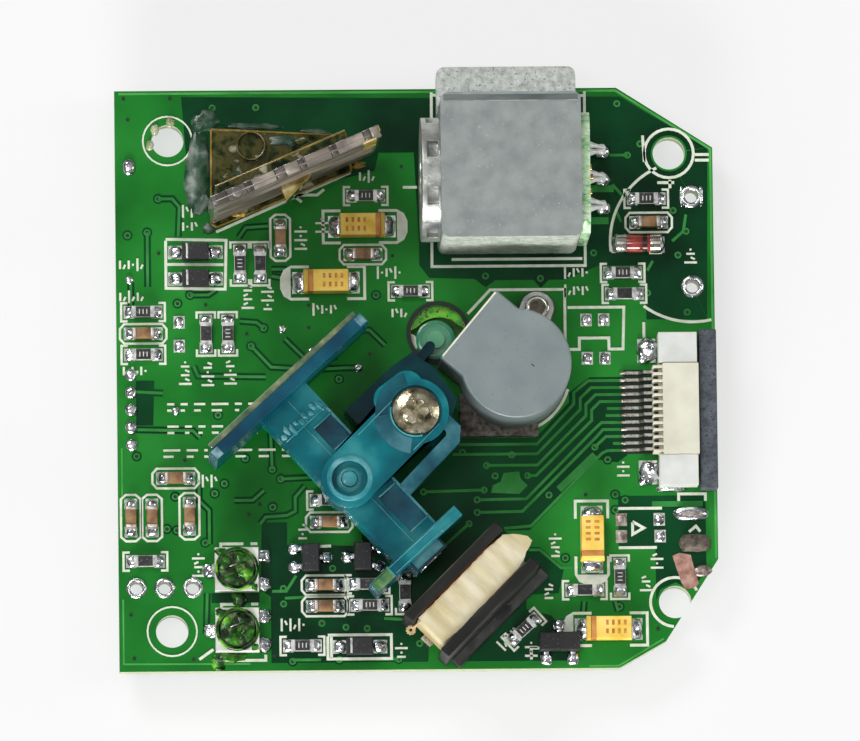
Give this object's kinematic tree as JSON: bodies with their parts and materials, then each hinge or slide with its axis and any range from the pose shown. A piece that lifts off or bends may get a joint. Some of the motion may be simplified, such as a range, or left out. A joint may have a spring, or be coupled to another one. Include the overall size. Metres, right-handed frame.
{
  "type": "laser scanner board",
  "caption": "Laser scan-engine board with a fixed laser module, swinging scan mirror, coil drive, shielded light detector and flat-cable socket.",
  "frame": {"origin": "centre of the outer box in X and Y, at the lowest face of the parts under the board", "axes": "+Z out of the board's populated face, +Y towards the laser module's end, +X towards the cable socket's edge"},
  "size_m": [0.0426, 0.0428, 0.0128],
  "materials": {
    "pcb": "green solder mask over glass-fibre laminate",
    "solder": "bright reflowed solder",
    "resistor_black": "black overcoat on ceramic",
    "ceramic": "fired tan ceramic",
    "tantalum": "moulded yellow resin",
    "chip_black": "moulded black resin",
    "diode_glass": "red-brown glass",
    "white_plastic": "white moulded",
    "trimmer_metal": "plated metal under green locking lacquer",
    "cream_plastic": "cream moulded",
    "plated_contact": "tinned",
    "slate_plastic": "slate grey moulded",
    "cast_zinc": "fine-grained die casting",
    "lens_glass": "clear coated",
    "spring_steel": "bright",
    "gold_plate": "gold plated",
    "driver_pcb": "pale green solder mask",
    "red_glass": "deep red",
    "rough_casting": "rough brown-grey casting",
    "mirror_plastic": "smoky clear plastic, metallised front",
    "mirror_coating": "metallised",
    "amber_plastic": "clear amber",
    "clear_glue": "clear with a white smear",
    "teal_plastic": "translucent teal moulding",
    "nickel": "nickel plated",
    "mirror_glass": "thin front-surface mirror glass",
    "black_plastic": "black moulded",
    "copper_wire": "enamelled copper wire",
    "cream_tape": "crinkled cream tape",
    "core_iron": "dark soft iron"
  },
  "bodies": {
    "board": {"circuit_board": "pcb", "solder_pads": "solder", "chip_resistors": "resistor_black", "chip_capacitors": "ceramic", "tantalum_capacitors": "tantalum", "signal_diodes": "chip_black", "glass_diode": "diode_glass", "small_transistors": "chip_black", "output_transistor": "chip_black", "trimmer_1_body": "white_plastic", "trimmer_2_body": "white_plastic", "trimmer_terminals": "solder", "socket_housing": "cream_plastic", "socket_contacts": "plated_contact", "socket_solder_tabs": "solder", "laser_housing": "cast_zinc", "laser_barrel": "cast_zinc", "focus_ring": "cast_zinc", "collimating_lens": "lens_glass", "lens_spring": "spring_steel", "laser_diode": "gold_plate", "laser_driver_board": "driver_pcb", "driver_board_pins": "solder", "detector_shield": "cast_zinc", "red_filter": "red_glass", "photodiode": "chip_black", "shield_base": "rough_casting", "shield_rivet": "spring_steel", "collecting_mirror": "mirror_plastic", "fold_mirror": "mirror_coating", "mirror_bracket": "amber_plastic", "mirror_adhesive": "clear_glue", "pivot_bracket": "teal_plastic", "bracket_base": "teal_plastic", "bracket_screw": "nickel", "bracket_nut": "nickel", "pivot_pin": "spring_steel", "coil_bobbin": "black_plastic", "coil_winding": "copper_wire", "coil_tape": "cream_tape", "coil_core": "core_iron", "coil_terminals": "solder", "microcontroller": "chip_black", "microcontroller_leads": "solder", "amplifier_chips": "chip_black", "amplifier_leads": "solder", "crystal": "nickel", "underside_passives": "ceramic", "underside_solder_joints": "solder"},
    "carrier": {"mirror_carrier": "teal_plastic", "scan_mirror_glass": "mirror_glass", "magnet": "nickel"},
    "slider": {"socket_slider": "slate_plastic"},
    "rotor_1": {"trimmer_1_rotor": "trimmer_metal"},
    "rotor_2": {"trimmer_2_rotor": "trimmer_metal"}
  },
  "joints": [
    {"name": "mirror_swing", "type": "hinge", "parent": "board", "child": "carrier", "pos_m": [-0.005, -0.00852, 0.0069], "axis": [0, 0, 1], "range_deg": [-10, 10], "stiffness_Nm_per_rad": 0.0001},
    {"name": "socket_lock_slide", "type": "slide", "parent": "board", "child": "slider", "axis": [1, 0, 0], "range_m": [0, 0.001]},
    {"name": "trimmer_1_turn", "type": "hinge", "parent": "board", "child": "rotor_1", "pos_m": [-0.0129, -0.01427, 0.0043], "axis": [0, 0, 1], "range_deg": [-130, 130]},
    {"name": "trimmer_2_turn", "type": "hinge", "parent": "board", "child": "rotor_2", "pos_m": [-0.0129, -0.01858, 0.0043], "axis": [0, 0, 1], "range_deg": [-130, 130]}
  ]
}
